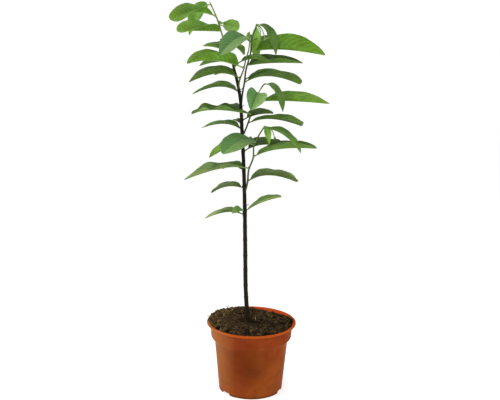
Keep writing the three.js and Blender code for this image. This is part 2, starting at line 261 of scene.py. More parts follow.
def closed_faces(rings, sides, flip=False):
    """Faces of a closed skin of rings, whose last two points are the middles of its ends."""
    faces = grid_faces(rings, sides, around=True, flip=flip)
    first, last, start = rings * sides, rings * sides + 1, (rings - 1) * sides
    for j in range(sides):
        k = (j + 1) % sides
        for face in ([first, k, j], [last, start + j, start + k]):
            faces.append(face[::-1] if flip else face)
    return faces


def tube(centres, radii, sides, shape=None):
    """A closed round tube along centres. shape(i, angle) gives a factor on the radius."""
    centres = np.asarray(centres, float)
    tangents = np.gradient(centres, axis=0)
    tangents /= np.linalg.norm(tangents, axis=1)[:, None]
    side = np.cross(tangents[0], [0.0, 1.0, 0.0])
    if np.linalg.norm(side) < 0.1:
        side = np.cross(tangents[0], [1.0, 0.0, 0.0])
    angles = np.arange(sides) * TAU / sides
    rings = []
    for i, (centre, tangent) in enumerate(zip(centres, tangents)):
        side = side - tangent * (side @ tangent)
        side /= np.linalg.norm(side)
        other = np.cross(tangent, side)
        factors = np.array([shape(i, a) for a in angles]) if shape else np.ones(sides)
        reach = (radii[i] * factors)[:, None]
        rings.append(centre + reach * (np.outer(np.cos(angles), side) + np.outer(np.sin(angles), other)))
    return np.concatenate([*rings, centres[:1], centres[-1:]]), closed_faces(len(centres), sides)


class Curve:
    """A centripetal Catmull-Rom curve through a route, walked by its length."""

    def __init__(self, route, steps=160):
        route = [np.array(p, float) for p in route]
        ends = [2 * route[0] - route[1], *route, 2 * route[-1] - route[-2]]
        samples = []
        for i in range(len(route) - 1):
            p0, p1, p2, p3 = ends[i:i + 4]
            d0, d1, d2 = (math.sqrt(np.linalg.norm(b - a)) for a, b in ((p0, p1), (p1, p2), (p2, p3)))
            m1 = ((p1 - p0) / d0 - (p2 - p0) / (d0 + d1) + (p2 - p1) / d1) * d1
            m2 = ((p2 - p1) / d1 - (p3 - p1) / (d1 + d2) + (p3 - p2) / d2) * d1
            t = np.linspace(0, 1, steps, endpoint=False)[:, None]
            samples.append(p1 + m1 * t + (-3 * p1 + 3 * p2 - 2 * m1 - m2) * t ** 2
                           + (2 * p1 - 2 * p2 + m1 + m2) * t ** 3)
        samples.append(route[-1][None, :])
        self.samples = np.concatenate(samples)
        self.walked = np.concatenate([[0], np.cumsum(np.linalg.norm(np.diff(self.samples, axis=0), axis=1))])
        self.length = self.walked[-1]

    def at(self, u):
        """Points at shares u of the length."""
        walked = np.asarray(u) * self.length
        return np.stack([np.interp(walked, self.walked, self.samples[:, k]) for k in range(3)], -1)

    def fraction_at(self, height):
        return float(np.interp(height, self.samples[:, 2], self.walked)) / self.length

    def at_height(self, height):
        return self.at(self.fraction_at(height))


def draw(n):
    """A fixed arbitrary number from 0 to 1 for each n."""
    value = math.sin(n * 12.9898) * 43758.5453
    return value - math.floor(value)


def smooth(t):
    t = np.clip(t, 0, 1)
    return t * t * (3 - 2 * t)


def read_off(table, place):
    """The value at a place, by straight lines between a table's rows of place and value."""
    return float(np.interp(place, *zip(*table)))


def outward_of(turn, rise=0.0):
    """The way out at a turn in degrees, with a rise for each unit of way out."""
    a = math.radians(turn)
    return np.array([math.cos(a), math.sin(a), rise])


# ---------------- sizes shared with the solids

TRUNK = Sizes(
    girth=[(100, 3), (118, 2.75), (280, 2.65), (381, 2.35), (461, 2), (482, 1.25), (559, 0.85)],
    route=[(-4.5, 0, 99.7), (-7.2, 0, 125), (-9, 0.5, 150), (-10.9, 0.5, 220), (-12.2, 0, 270),
           (-14.7, -0.5, 335), (-17.6, 0, 381), (-21, 0.5, 430), (-27.4, 1, 461), (-36, 1.5, 490),
           (-45.6, 2, 513), (-54.3, 1.5, 539), (-63.3, 0, 559)])

SHOOTS = {
    "low": Sizes(radii=(1.3, 0.95), route=[
        (-13.2, 0, 292), (-9, -6, 312), (-7.4, -10, 331), (-1.5, -14, 349), (-0.8, -17.5, 366),
        (5.3, -21, 381), (13, -24, 394.5)]),
    "middle": Sizes(radii=(1.2, 0.8), route=[
        (-17.4, 0, 376), (-12, -4, 389), (-8.4, -7, 400), (-2.5, -14, 420), (5.4, -19, 443),
        (11.8, -22, 453)]),
    "high": Sizes(radii=(1.3, 0.9), route=[
        (-20, 0.3, 413), (-17.8, 4.5, 437), (-15.3, 6.5, 452), (-13.8, 8.5, 467), (-7.4, 11.6, 493),
        (-6.4, 13.6, 509), (0, 16, 530)]),
    "front": Sizes(radii=(1.1, 0.8), route=[
        (-23.4, 0.5, 442), (-22.2, -4.5, 455), (-16.6, -7.5, 471), (-14.2, -10, 483), (-10.2, -13.5, 498),
        (-8.4, -16, 513)]),
}

STALK_RADIUS = 0.95     # of a leaf stalk
LEAF_ASPECT = 0.42      # usual width of a leaf for its length


@dataclass
class Row:
    """How one leaf stands, and what sets it apart from the rule that the defaults give."""
    height: float           # of its foot
    turn: float             # degrees: 0 right, 90 back, 180 left, -90 front
    span: float             # level way from foot to tip
    climb: float            # of the tip over the foot
    arch: float             # of the midrib over its chord
    width: float            # None for the usual share of its length
    fold: float             # degrees that its halves stand up
    tone: str               # an entry of TONES
    petiole: float = 7      # length of its bare stalk
    lean: float = 0         # degrees its upper face turns away, below zero towards the front
    twist: float = 0        # degrees it turns on by its tip
    ease: float = 0         # share of the fold that is lost by its tip
    crest: float = 0.35     # where along the chord the midrib's arch is set
    rise: float = 0.68      # power of the outline at its foot
    fall: float = 0.62      # power of the outline at its tip
    wave: float = 0.9       # height of its ripple
    waves: float = 1.7      # ripples from foot to tip
    phase: float = None     # of its ripple, None for a drawn one
    upper: float = 1        # gain of its upper face's colour, partly its own tone and partly painted light and shade for how lit the leaf stands
    under: float = 1        # gain of its under face's colour, partly its own tone and partly painted light and shade for how lit the leaf stands


LEAVES = {
    "trunk": dict(
        low_left=Row(262, 190, 58, -3, 8, 22, 20, "old", rise=0.6, fall=0.75, upper=1.7),
        low_back=Row(269, 222, 24, 0, 4, 13, 18, "soft", lean=-25, upper=1.6, under=1.2),
        low_right=Row(268, -12, 53, 25, 4, 23, 26, "soft", petiole=4, lean=-4, rise=0.8, fall=0.45,
                      upper=1.45, under=1.1),
        low_far=Row(327, 122, 60, -8, 6, 22, 36, "old"),
        second_left=Row(302, 168, 48, -10, 7, 24, 25, "old", petiole=5, crest=0.5, rise=0.5, fall=0.45,
                        wave=0.6),
        middle_right=Row(354, 38, 72, 1, 7.5, 37, 30, "dark", petiole=12, rise=1, upper=0.88, under=0.42),
        middle_far=Row(365, 102, 70, -22, 7, 24, 24, "dark"),
        middle_left=Row(386, 172, 58, 0, 8, 19, 24, "dark", petiole=4, lean=-4, rise=0.55, fall=0.8,
                        upper=2.2),
        middle_back=Row(393, 118, 26, 3, 2, 12, 25, "dark"),
        upper_right=Row(398, 34, 54, 7, 4.5, 27, 30, "dark", petiole=12, rise=0.85, upper=1.08, under=0.65),
        upper_far=Row(412, 125, 56, -4, 4, 20, 34, "dark"),
        upper_left=Row(438, 172, 67, -5, 10, 26, 24, "dark", petiole=5, lean=-2, rise=0.5, fall=0.65,
                       upper=2.2),
        high_far=Row(461, 128, 50, -4, 5, 18, 34, "full"),
        fork=Row(472, -12, 51, 10, 9, 20, 30, "full", petiole=15, crest=0.3, under=0.95),
        high_left=Row(479, 150, 54, -8, 4, 22, 30, "full"),
        crown_far=Row(504, 86, 56, -16, 5, None, 30, "full"),
        crown_left=Row(492, 160, 40, 8, 3.5, 24, 30, "full", lean=-8, fall=0.8, under=1.4),
        crown_back=Row(499, 30, 27, -11, 7, 22, 25, "dark", under=1.9),
        crown_front=Row(522, 203, 64, 1, 0.5, 38, 38, "young", petiole=3, lean=4, twist=-45, ease=0.4,
                        rise=0.5, fall=0.36, upper=1.03, under=1.13),
        crown_right=Row(529, -22, 29, -4, 2, 22, 20, "young", lean=-52, rise=0.8, fall=0.35, upper=0.92,
                        under=0.9),
        top_far=Row(530, 72, 46, -10, 5, None, 25, "young"),
        top_left=Row(541, 207, 70, 1, 6.5, 25, 47, "young", lean=12, twist=-128, ease=0.6, fall=0.3,
                     upper=0.79, under=1.06),
        top_arch=Row(557, 150, 35, -43, 15.5, 22, 25, "young", lean=-95, crest=0.7, rise=0.55, fall=0.7,
                     upper=1.18),
    ),
    "low": dict(
        a=Row(313.5, 15, 73, -4, 10, 31, 30, "old", petiole=5, rise=0.6, fall=0.25, wave=1.4, upper=1.35,
              under=0.87),
        c=Row(332.5, 188, 91, -15, 8, 36, 24, "soft", lean=2, crest=0.3, rise=0.95, fall=0.55, wave=2.4,
              waves=2.1, phase=0.12),
        d=Row(350, -12, 89, 17, 7, 38, 30, "full", lean=4, crest=0.27, rise=0.8, fall=0.52, under=0.87),
        e=Row(368, 172, 63, -21, 8, 28, 48, "full", fall=0.48, under=1.75),
        f=Row(372, 237, 79, -5, 9, 37, 12, "pale", lean=-16, rise=0.7, fall=0.5, upper=0.98),
        g=Row(369, 160, 10, 8, 2, 9, 15, "pale", petiole=3, lean=-20),
        h=Row(393, -25, 56, -30, 9.5, 22, 30, "full", petiole=4, lean=2, crest=0.58, upper=1.5),
        i=Row(394, -60, 14, -22, 5, 12, 30, "young", petiole=3, upper=1.4, under=1.3),
    ),
    "middle": dict(
        a=Row(396, -18, 78, 1, 8.5, 28, 26, "dark", petiole=4, fall=0.15, wave=1.2, upper=1.8, under=1.1),
        b=Row(410, 198, 85, 2, 6.5, 33, 20, "full", petiole=3, crest=0.7, rise=0.5, fall=0.6, wave=3,
              waves=2.7, phase=0.84, upper=0.85, under=1.25),
        c=Row(428.5, 8, 105, -4, 2.5, None, 34, "young", rise=1.4, fall=0.88, upper=0.92, under=0.9),
        e=Row(448, -106, 51, -25, 2, 34, 36, "pale", petiole=20, lean=-20, rise=0.5, fall=0.55, upper=1.25),
        f=Row(452.5, -20, 28, -36, 16.5, 14, 18, "full", petiole=4, lean=-28, crest=0.76, rise=0.9),
    ),
    "high": dict(
        a=Row(451, 22, 85, -5, 11, 37, 33, "full", petiole=6, rise=0.78, fall=0.27, wave=0.5, phase=0.2,
              upper=1.5, under=0.84),
        b=Row(455, 40, 66, 1, 6, 22, 30, "dark", rise=1.3),
        c=Row(475, 8, 79, 3, 2.5, 39, 27, "full", petiole=3, lean=-6, rise=0.5, upper=0.54, under=1.3),
        d=Row(494, 6, 105, -5, 5.5, 51, 60, "young", lean=2, rise=0.85, fall=0.68, under=0.93),
        e=Row(508, 66, 62, -14, 6, None, 30, "full"),
        f=Row(530, -28, 31, -40, 18, 15, 18, "full", petiole=5, lean=-28, crest=0.77, rise=0.85, upper=0.95),
        g=Row(529, -95, -9, -46, 4, 15, 22, "young", petiole=5, rise=0.7, fall=0.35, upper=2.4),
    ),
    "front": dict(
        a=Row(458, 190, 71, -5, 10, 33, 36, "dark", upper=1.2, under=0.93),
        b=Row(472.5, 196, 80, 7, 8, 38, 42, "young", petiole=10, lean=14, twist=-55, crest=0.5, rise=0.36,
              fall=0.48, upper=0.97),
        d=Row(512, 242, 83, -15, 10, 29, 20, "pale", petiole=9, lean=-18, twist=-22, rise=0.7, fall=0.52,
              upper=0.88),
        e=Row(507, 50, 0, 16, 1, 11, 52, "young", petiole=2),
    ),
}

POT = Sizes(
    height=103, lip_radius=65, lip_height=3.2, collar_radius=60, collar_foot=58.6, collar_height=18.2,
    step_height=7, body_radius=53.1, foot_radius=46.5, wall=1.4, panel_radius=27, recess=4, foot_width=2,
    notch_turns=(-141, -21, 99), notch_width=20, notch_height=3.5, drain_holes=6, drain_radius=3.5)

SOIL = Sizes(
    level=100.4, slope=0.061, slope_turn=150, lump=0.9, heap=3, heap_place=(-44, 34), heap_reach=20)

# ---------------- leaves

# upper face, under face and rib of a leaf, as linear colours
TONES = {
    "young": ((0.16, 0.323, 0.043), (0.148, 0.32, 0.027), (0.27, 0.44, 0.09)),
    "full": ((0.081, 0.168, 0.028), (0.115, 0.226, 0.035), (0.2, 0.34, 0.07)),
    # pale: its blue-grey is in part a painted sheen on the faces
    "pale": ((0.128, 0.26, 0.07), (0.175, 0.265, 0.07), (0.24, 0.38, 0.11)),
    "soft": ((0.134, 0.236, 0.054), (0.165, 0.246, 0.066), (0.24, 0.38, 0.11)),
    "dark": ((0.072, 0.138, 0.028), (0.096, 0.184, 0.028), (0.14, 0.23, 0.05)),
    # old: its pale grey-green upper face is in part a painted sheen of the light from above
    "old": ((0.165, 0.243, 0.075), (0.09, 0.145, 0.03), (0.15, 0.2, 0.055)),
}

# the two faces of a blade: shine, range of roughness, paleness and share of the veins, and their relief
FACES = {
    "upper": Sizes(specular=0.2, rough=(0.3, 0.44), paleness=1.55, veined=0.6, relief=-1.0),
    "under": Sizes(specular=0.12, rough=(0.5, 0.64), paleness=1.35, veined=0.5, relief=1.0),
}
VEINS = 11              # side veins to each half of a leaf
SWEEP = (0.16, 0.1)     # how far the side veins sweep towards the tip
STAGGER = 0.45          # how far the left half's veins are set off from the right one's, in gaps
FLARE = 0.34            # how much steeper a half stands at the midrib, and flatter at its margin
BLADE = Sizes(rows=62, columns=25, half_thickness=0.19)


def vein_maps(paint, along, signed):
    """How far out from the midrib, how far on from the last side vein, and how much on a vein, all 0 to 1."""
    out = paint.math("ABSOLUTE", signed)
    swept = paint.math("MULTIPLY_ADD", out, -SWEEP[0], along)
    swept = paint.math("MULTIPLY_ADD", paint.times(out, out), -SWEEP[1], swept)
    offset = paint.times(paint.math("GREATER_THAN", signed, 0.0), STAGGER)
    beat = paint.math("FRACT", paint.math("MULTIPLY_ADD", swept, float(VEINS), offset))
    near = paint.math("ABSOLUTE", paint.math("SUBTRACT", beat, 0.5))
    side_vein = paint.times(paint.span(near, 0.035, 0.1, 1.0, 0.0), paint.span(out, 0.55, 1.0, 1.0, 0.15))
    vein = paint.math("MAXIMUM", side_vein, paint.span(out, 0.02, 0.06, 1.0, 0.0))
    return out, paint.math("FRACT", paint.math("ADD", beat, 0.5)), vein


def leaf_paint(name, base, face, halves, gloss):
    """Green with paler veins that follow the place map: x from foot to tip, y from margin to margin.

    halves is the share of a painted sheen on the left half and of painted shade on the right one, gloss the
    share of the usual shine.
    """
    look = FACES[face]
    paint = Paint(name, look.specular * gloss)
    place = paint.node("UVMap", uv_map="place")[0]
    along = paint.axis(place, "X")
    signed = paint.math("MULTIPLY_ADD", paint.axis(place, "Y"), 2.0, -1.0)
    out, past_vein, vein = vein_maps(paint, along, signed)
    net = paint.span(paint.cells(620, "DISTANCE_TO_EDGE"), 0.0, 0.09, 1.0, 0.0)
    light = capped(scaled(base, 1.45, paler=0.02))
    pale = capped(scaled(base, look.paleness, paler=0.09))
    paint.colour = paint.mix(scaled(base, 0.5), light, paint.span(paint.noise(60, 3), 0.3, 0.7))
    paint.coat(scaled(base, 1.6, 1.35, 0.9), paint.span(along, 0.45, 1.0, 0, 0.8))
    paint.coat(scaled(base, 0.6), paint.span(along, 0.0, 0.4, 0.7, 0))
    # painted shade on one side of each side vein, fading across the gap to the next, as if the puckered blade
    # shaded itself
    shade = paint.times(paint.span(past_vein, 0.0, 0.75, 0.75, 0.0), paint.span(out, 0.04, 0.3))
    paint.coat(scaled(base, 0.5, 0.62, 0.8), shade)
    # a painted sheen on the left half and painted shade on the right half
    if halves:
        right, left = scaled(base, 0.55, 0.72, 0.8), scaled(base, 1.7, 1.35, 1.6)
        paint.coat(paint.mix(right, left, paint.span(signed, -0.04, 0.04)), halves)
    paint.coat(pale, paint.times(net, 0.16))
    paint.coat(pale, paint.times(vein, look.veined))
    paint.coat(scaled(base, 1.3, paler=0.15), paint.span(out, 0.955, 1.0, 0.0, 0.5))
    height = paint.math("MULTIPLY_ADD", vein, look.relief, paint.times(paint.noise(240, 3), 0.5))
    height = paint.math("MULTIPLY_ADD", net, look.relief * 0.3, height)
    paint.bump(height, 0.5, 0.0003)
    return paint.finish(paint.span(paint.noise(90, 3), 0.3, 0.7, *look.rough))


def rib_paint(name, base):
    paint = Paint(name)
    grain = paint.noise(260, 3, paint.stretched(1, 1, 0.3))
    paint.colour = paint.mix(scaled(base, 0.75), scaled(base, 1.2), grain)
    return paint.finish(0.5)


def leaf_paints(name, row):
    """Paints of one leaf: upper face, under face and rib, each face lighter or darker by its gain, which is
    partly the leaf's own tone and partly painted light and shade.
    """
    upper, under, rib = TONES[row.tone]
    # pale leaves get a painted sheen on one half and painted shade on the other
    halves = 0.6 if row.tone == "pale" else 0.0
    paints = []
    for face, base, gain, half in (("upper", upper, row.upper, halves), ("under", under, row.under, 0.0)):
        paints.append(leaf_paint(f"leaf_{face}_{name}", scaled(base, gain), face, half, min(1.0, gain) ** 2))
    return (*paints, rib_paint(f"leaf_rib_{name}", rib))


class Leaf:
    """The surface of one leaf, as in the solids, with curved halves, puckers between veins and a fine tip."""

    def __init__(self, foot, row, serial):
        self.row = row
        self.length = math.hypot(row.span, row.climb) + row.arch * 0.5
        self.width = row.width or self.length * LEAF_ASPECT
        outward = outward_of(row.turn)
        self.left = np.array([-outward[1], outward[0], 0])
        facing = 1 if self.left[1] < 0 else -1
        self.lean = math.radians(row.lean) * facing
        self.twist = math.radians(row.twist) * facing
        self.foot = np.asarray(foot, float)
        self.tip = self.foot + outward * row.span + UP * row.climb
        self.crest = self.foot + (self.tip - self.foot) * row.crest + UP * 2 * row.arch
        self.stalk = min(0.4, row.petiole / self.length)
        self.phase = draw(serial) if row.phase is None else row.phase

    def midrib(self, u):
        """Places along stalk and midrib, the way to the left there, and the way that the upper face looks."""
        u = np.asarray(u, float)[..., None]
        place = (1 - u) ** 2 * self.foot + 2 * u * (1 - u) * self.crest + u ** 2 * self.tip
        along = 2 * (1 - u) * (self.crest - self.foot) + 2 * u * (self.tip - self.crest)
        along /= np.linalg.norm(along, axis=-1, keepdims=True)
        normal = np.cross(along, self.left)
        normal /= np.linalg.norm(normal, axis=-1, keepdims=True)
        t = np.clip((u - self.stalk) / (1 - self.stalk), 0, 1)
        roll = self.lean + self.twist * t * t
        side = self.left * np.cos(roll) + normal * np.sin(roll)
        top = normal * np.cos(roll) - self.left * np.sin(roll)
        return place, side, top

    def sheet(self, t, s):
        """Points halfway through the blade and the way its upper face looks, for t along and s across."""
        row = self.row
        place, side, top = self.midrib(self.stalk + (1 - self.stalk) * t)
        peak = row.rise / (row.rise + row.fall)
        spread = t ** row.rise * (1 - t) ** row.fall / (peak ** row.rise * (1 - peak) ** row.fall)
        pointed = spread * (1 - min(0.4, row.fall * 0.9) * t ** 9)
        half = np.maximum(0.12 + 0.6 * (1 - t) ** 8, pointed * self.width / 2)
        out = np.abs(s)
        fold = math.radians(row.fold) * np.minimum(1, t * 8) * (1 - row.ease * t * t) + 1e-3
        steep, gentle = fold * (1 + FLARE), fold * (1 + FLARE * (1 - 2 * out))
        reach = (np.sin(steep) - np.sin(gentle)) / (2 * fold * FLARE)
        lift = (np.cos(gentle) - np.cos(steep)) / (2 * fold * FLARE)
        ripple = row.wave * spread * s * s * np.sin(TAU * (row.waves * t + self.phase + 0.3 * s))
        fine = np.sin(TAU * (4.6 * t + 2.3 * self.phase + s))
        ripple += min(0.35, 0.25 * row.wave) * spread * out ** 3 * fine
        normal = top * np.cos(gentle)[..., None] - side * (np.sign(s) * np.sin(gentle))[..., None]
        beat = (t - SWEEP[0] * out - SWEEP[1] * out * out) * VEINS + STAGGER * (s > 0)
        pucker = (0.05 * half * np.abs(np.sin(math.pi * (beat - 0.5))) * np.sqrt(out)
                  * smooth((1.02 - out) * 4) * smooth(t * 9) * smooth((1 - t) * 6))
        points = place + side * (np.sign(s) * half * reach)[..., None]
        points += top * (half * lift + ripple)[..., None]
        return points + normal * pucker[..., None], normal

    def blade(self):
        """Points of both sides, their place map, the upper side's faces, and the under side's and margin."""
        rows, columns = BLADE.rows, BLADE.columns
        t = (1 - np.cos(np.linspace(0, math.pi, rows))) / 2 * 0.5 + np.linspace(0, 1, rows) * 0.5
        s = np.linspace(-1, 1, columns)
        s = np.sign(s) * np.abs(s) ** 0.9
        t, s = np.meshgrid(t, s, indexing="ij")
        middle, normal = self.sheet(t, s)
        thin = (BLADE.half_thickness * (1 - 0.6 * np.abs(s) ** 4))[..., None]
        points = np.concatenate([middle + normal * thin, middle - normal * thin]).reshape(-1, 3)
        places = np.tile(np.stack([t.ravel(), (s.ravel() + 1) / 2], -1), (2, 1))
        count = rows * columns
        grid = np.arange(count).reshape(rows, columns)
        rim = np.concatenate([grid[:-1, 0], grid[-1, :-1], grid[:0:-1, -1], grid[0, :0:-1]]).tolist()
        margin = [[a, b, b + count, a + count] for a, b in zip(rim, rim[1:] + rim[:1])]
        under = grid_faces(rows, columns, start=count) + margin
        return points, places, grid_faces(rows, columns, flip=True), under

    def rib(self):
        """The bare stalk, thicker at its foot, and the midrib, half sunk into the blade's under face."""
        blade = self.stalk + (1 - self.stalk) * np.linspace(0, 0.985, 40)
        u = np.concatenate([np.linspace(0, self.stalk, 9)[:-1], blade])
        place, _, top = self.midrib(u)
        along = np.clip((u - self.stalk) / (1 - self.stalk), 0, 1)
        bare = STALK_RADIUS * (1.2 - 0.2 * u / self.stalk) + 0.3 * np.exp(-(u / self.stalk * 4) ** 2)
        radii = np.where(u < self.stalk, bare, (STALK_RADIUS - 0.1) * (1 - along) ** 0.8 + 0.1)
        size = 0.75 + 0.25 * min(1.0, self.length / 80)
        sink = 0.32 * smooth(along * 12)
        return tube(place - top * sink[:, None], radii * size, 10)


def grow_leaf(name, foot, row, serial, node):
    leaf = Leaf(foot, row, serial)
    upper, under, rib = leaf_paints(name, row)
    points, places, upper_faces, under_faces = leaf.blade()
    parts = [(points, upper_faces, upper, places), (points, under_faces, under, places)]
    parts.append((*leaf.rib(), rib, None))
    piece = make_piece(f"blade_{name}", parts, [node])
    joined_margin = piece.modifiers.new("join_margin", "WELD")
    joined_margin.merge_threshold = 1e-6


def grow_leaves():
    serial = 0
    for stem, rows in LEAVES.items():
        curve = Curve(TRUNK.route if stem == "trunk" else SHOOTS[stem].route)
        for name, row in rows.items():
            foot = curve.at_height(row.height)
            if stem == "trunk":
                grow_leaf(name, foot, row, serial, f"leaf_{name}")
            else:
                grow_leaf(f"{stem}_{name}", foot, row, serial, f"shoot_{stem}")
            serial += 1


# ---------------- stems

# bark colour at the foot and at the tip of each stem
BARK = {
    "trunk": ((0.0165, 0.014, 0.009), (0.2, 0.24, 0.06)),
    "low": ((0.06, 0.065, 0.03), (0.12, 0.17, 0.045)),
    "middle": ((0.045, 0.042, 0.022), (0.1, 0.13, 0.035)),
    "high": ((0.04, 0.042, 0.02), (0.1, 0.135, 0.035)),
    "front": ((0.09, 0.11, 0.035), (0.17, 0.26, 0.06)),
}
RELIEF = Sizes(bark=1.05, swell=0.08, swell_reach=2.2, lumps=0.025, furrows=0.03)

SCARS = [118, 139, 158, 181, 203, 226, 246]     # heights of old leaf scars on the bare stem
SCAR_TURNS = (186, 8)                           # left and right by turns

# short dry stubs on the trunk: height, turn, length
STUBS = [(438.5, -20, 5.5), (441, 20, 5), (418, 5, 3.5), (404, -8, 3), (379, 0, 3), (276, -12, 5)]

# young leaf stalks that hang bare from the shoots' tips: points on the way down
STALKS = {
    "high": [[(0, 16, 530), (4.5, 15.5, 528), (9, 15, 521), (12, 14.5, 512)],
             [(0, 16, 530), (3.5, 15.5, 526.5), (5.8, 15, 519), (5.6, 14.5, 511)]],
    "low": [[(13, -24, 394.5), (19, -24.5, 394), (24, -25, 389), (27, -25, 381)]],
}


def bark_paint(name, foot, tip, low, high):
    """Bark whose colour passes from foot to tip between two heights in metres, paler on the oldest wood."""
    paint = Paint(name, 0.04)
    height = paint.axis(paint.where, "Z")
    share = paint.span(height, low, high)
    aged = scaled(foot, 1.4, 1.33, 1.05)
    paint.colour = paint.mix(aged, paint.mix(foot, tip, share), paint.span(height, 0.16, 0.26))
    streaks = paint.noise(420, 5, paint.stretched(1, 1, 0.12), 0.7)
    # the bark's own pale worn streaks, strongest towards the foot
    wear_and_painted_sheen = paint.times(paint.span(streaks, 0.52, 0.72, 0, 0.6), paint.span(share, 0, 1, 1, 0.35))
    paint.coat(tuple(c * 1.8 + 0.004 for c in foot), wear_and_painted_sheen)
    specks = paint.span(paint.cells(330, where=paint.stretched(1, 1, 0.45)), 0.1, 0.2, 0.75, 0.0)
    paint.coat((0.09, 0.08, 0.055), paint.times(specks, 0.3))
    paint.bump(paint.math("MULTIPLY_ADD", specks, 0.6, streaks), 0.6, 0.0004)
    return paint.finish(paint.span(streaks, 0.3, 0.7, 0.7, 0.9))


def stem(curve, radius_at, feet, steps, sides, seed, paint):
    """A stem's part: radius_at(u) with its bark, swollen where leaves stand, shallow furrows and lumps."""
    fractions = np.linspace(0, 1, steps)
    heights = curve.at(fractions)[:, 2]

    def factor(i, angle):
        across, along, height = math.cos(angle), math.sin(angle), heights[i]
        swell = sum(RELIEF.swell * math.exp(-((height - foot) / RELIEF.swell_reach) ** 2) for foot in feet)
        lump = noise.noise(Vector((across * 1.6, along * 1.6, height * 0.09 + seed)))
        furrow = noise.noise(Vector((across * 4.5, along * 4.5, height * 0.05 + seed)))
        return RELIEF.bark + swell + RELIEF.lumps * lump + RELIEF.furrows * furrow

    return (*tube(curve.at(fractions), [radius_at(u) for u in fractions], sides, factor), paint, None)


def bud(place, direction, size):
    """A small pointed bud."""
    direction = np.asarray(direction, float) / np.linalg.norm(direction)
    t = np.linspace(0, 1, 9)
    centres = np.asarray(place) + np.outer(t, direction) * size
    return tube(centres, size * 0.42 * np.sin(math.pi * t ** 0.8) ** 0.8 + 0.05, 8)


def stoutness(height):
    """How much thicker the bark makes the stem's foot than its wood."""
    return 1 + 0.05 * smooth((270 - height) / 60) + 0.1 * math.exp(-abs(height - 100) / 40)


def grow_trunk():
    curve = Curve([(-4.1, 0, 97), *TRUNK.route])
    rows = LEAVES["trunk"].values()

    def on_bark(height, turn, sink):
        centre, away = curve.at_height(height), outward_of(turn)
        return centre + away * (read_off(TRUNK.girth, centre[2]) - sink), away

    def radius_at(u):
        height = curve.at(u)[2]
        return read_off(TRUNK.girth, height) * stoutness(height)

    extras = []
    for row in rows:
        place, away = on_bark(row.height + 2.2, row.turn, 0.5)
        extras.append(bud(place, away * 0.7 + UP, 2.2))
    for i, height in enumerate(SCARS):
        place, away = on_bark(height, SCAR_TURNS[i % 2], 0.6)
        extras.append(bud(place, away + UP * 1.4, 1.6))
    for height, turn, length in STUBS:
        centre, away = curve.at_height(height), outward_of(turn, 0.35)
        t = np.linspace(0, 1, 7)[:, None]
        way = centre + away * (read_off(TRUNK.girth, centre[2]) * 0.6) + t * away * length + UP * t * t * 1.5
        extras.append(tube(way, np.linspace(0.55, 0.3, 7), 7))
    paint = bark_paint("bark_trunk", *BARK["trunk"], 0.455, 0.52)
    feet = [row.height for row in rows] + SCARS
    wood = stem(curve, radius_at, feet, 620, 30, 0.0, paint)
    make_piece("stem_trunk", [wood, *((*extra, paint, None) for extra in extras)], ["trunk"])


def grow_shoot(name, seed):
    curve = Curve(SHOOTS[name].route)
    foot, tip = SHOOTS[name].radii
    rows = LEAVES[name].values()
    low, high = (SHOOTS[name].route[end][2] * MM for end in (0, -1))
    paint = bark_paint(f"bark_{name}", *BARK[name], low, high)
    feet = [row.height for row in rows]

    def radius_at(u):
        return foot + (tip - foot) * u + 0.5 * math.exp(-(u * 30) ** 2)

    parts = [stem(curve, radius_at, feet, 200, 16, seed, paint)]
    for row in rows:
        place, away = curve.at_height(row.height + 1.6), outward_of(row.turn)
        parts.append((*bud(place + away * 0.7, away * 0.6 + UP, 1.9), paint, None))
    if name in STALKS:
        green = rib_paint(f"stalk_stem_{name}", TONES["young"][2])
        for route in STALKS[name]:
            stalk = tube(Curve(route).at(np.linspace(0, 1, 24)), np.linspace(0.85, 0.65, 24), 8)
            tip_bud = bud(np.array(route[-1]), np.subtract(route[-1], route[-2]), 4.5)
            parts += [(*stalk, green, None), (*tip_bud, green, None)]
    make_piece(f"stem_{name}", parts, [f"bough_{name}", f"shoot_{name}"])


def grow_stems():
    grow_trunk()
    for number, name in enumerate(SHOOTS, 1):
        grow_shoot(name, 10.0 * number)


# ---------------- pot

